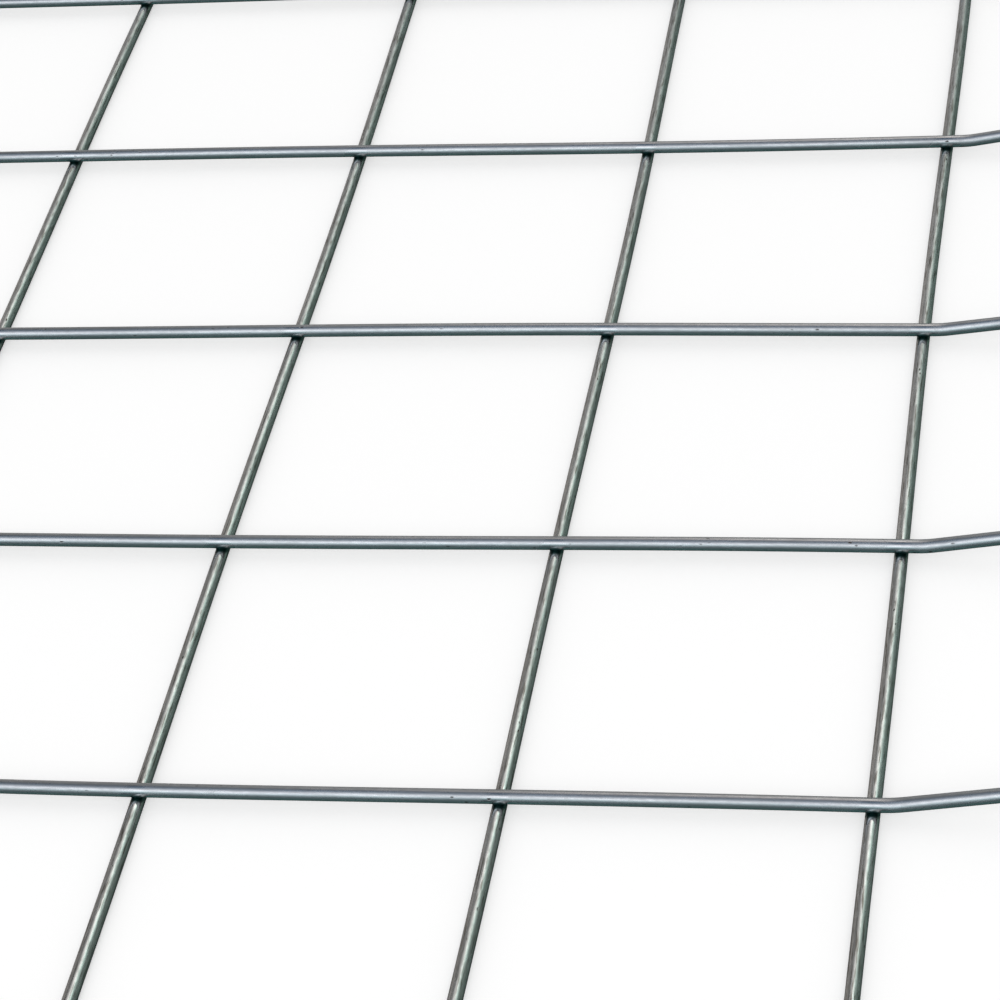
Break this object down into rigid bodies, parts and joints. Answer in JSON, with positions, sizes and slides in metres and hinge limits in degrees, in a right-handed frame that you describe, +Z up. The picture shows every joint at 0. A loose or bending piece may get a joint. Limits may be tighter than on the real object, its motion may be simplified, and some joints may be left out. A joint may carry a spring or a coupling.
{
  "type": "welded wire mesh panel",
  "caption": "Flat sheet of round galvanised steel wires crossing in a square grid, welded where they cross, with one long edge turned up a little.",
  "frame": {"origin": "middle of the sheet, on the floor plane that its line wires lie on", "axes": "+X across the sheet towards the turned-up long edge, +Y along the sheet, +Z up through it"},
  "size_m": [0.9997, 2, 0.0152],
  "materials": {
    "galvanised_wire": "satin"
  },
  "bodies": {
    "root": {"mesh_panel": "galvanised_wire"}
  },
  "joints": []
}
